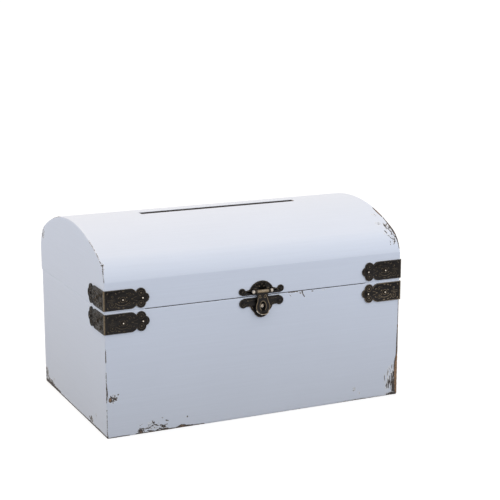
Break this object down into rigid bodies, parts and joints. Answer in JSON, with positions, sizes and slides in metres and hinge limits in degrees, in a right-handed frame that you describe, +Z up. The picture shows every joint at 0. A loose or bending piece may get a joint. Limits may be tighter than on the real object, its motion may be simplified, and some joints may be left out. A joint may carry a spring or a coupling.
{
  "type": "wedding card box",
  "caption": "Painted wooden chest for wedding cards, with an arched hinged lid, a card slot along its ridge, stamped corner brackets and a hasp latch.",
  "frame": {"origin": "middle of the flat underside of the base", "axes": "+X to the right along the long side, -Y out of the front with the latch, +Z up"},
  "size_m": [0.3346, 0.2161, 0.2015],
  "materials": {
    "painted_wood": "white distressed paint, sanded through to brown wood at the edges",
    "antique_bronze": "dark antique bronze plating, worn golden at the edges",
    "bright_brass": "bright worn brass"
  },
  "bodies": {
    "base": {"base_front_panel": "painted_wood", "base_rear_panel": "painted_wood", "base_left_panel": "painted_wood", "base_right_panel": "painted_wood", "base_bottom_panel": "painted_wood", "base_bracket_left": "antique_bronze", "base_bracket_right": "antique_bronze", "base_bracket_nails": "bright_brass", "latch_catch_plate": "antique_bronze", "latch_catch_stud": "bright_brass", "latch_catch_nails": "antique_bronze", "hinge_left_base_leaf": "antique_bronze", "hinge_right_base_leaf": "antique_bronze", "hinge_left_pin": "antique_bronze", "hinge_right_pin": "antique_bronze", "hinge_base_screws": "antique_bronze"},
    "lid": {"lid_front_rail": "painted_wood", "lid_rear_rail": "painted_wood", "lid_left_end": "painted_wood", "lid_right_end": "painted_wood", "lid_top_panel": "painted_wood", "lid_bracket_left": "antique_bronze", "lid_bracket_right": "antique_bronze", "lid_bracket_nails": "bright_brass", "latch_upper_plate": "antique_bronze", "latch_hinge_pin": "bright_brass", "latch_upper_nails": "antique_bronze", "hinge_left_lid_leaf": "antique_bronze", "hinge_right_lid_leaf": "antique_bronze", "hinge_lid_screws": "antique_bronze"},
    "hasp": {"latch_hasp": "antique_bronze"}
  },
  "joints": [
    {"name": "lid_hinge", "type": "hinge", "parent": "base", "child": "lid", "pos_m": [0, 0.1033, 0.1278], "axis": [-1, 0, 0], "range_deg": [0, 105]},
    {"name": "hasp_swing", "type": "hinge", "parent": "lid", "child": "hasp", "pos_m": [0.0022, -0.1064, 0.133], "axis": [-1, 0, 0], "range_deg": [-6, 150]}
  ]
}
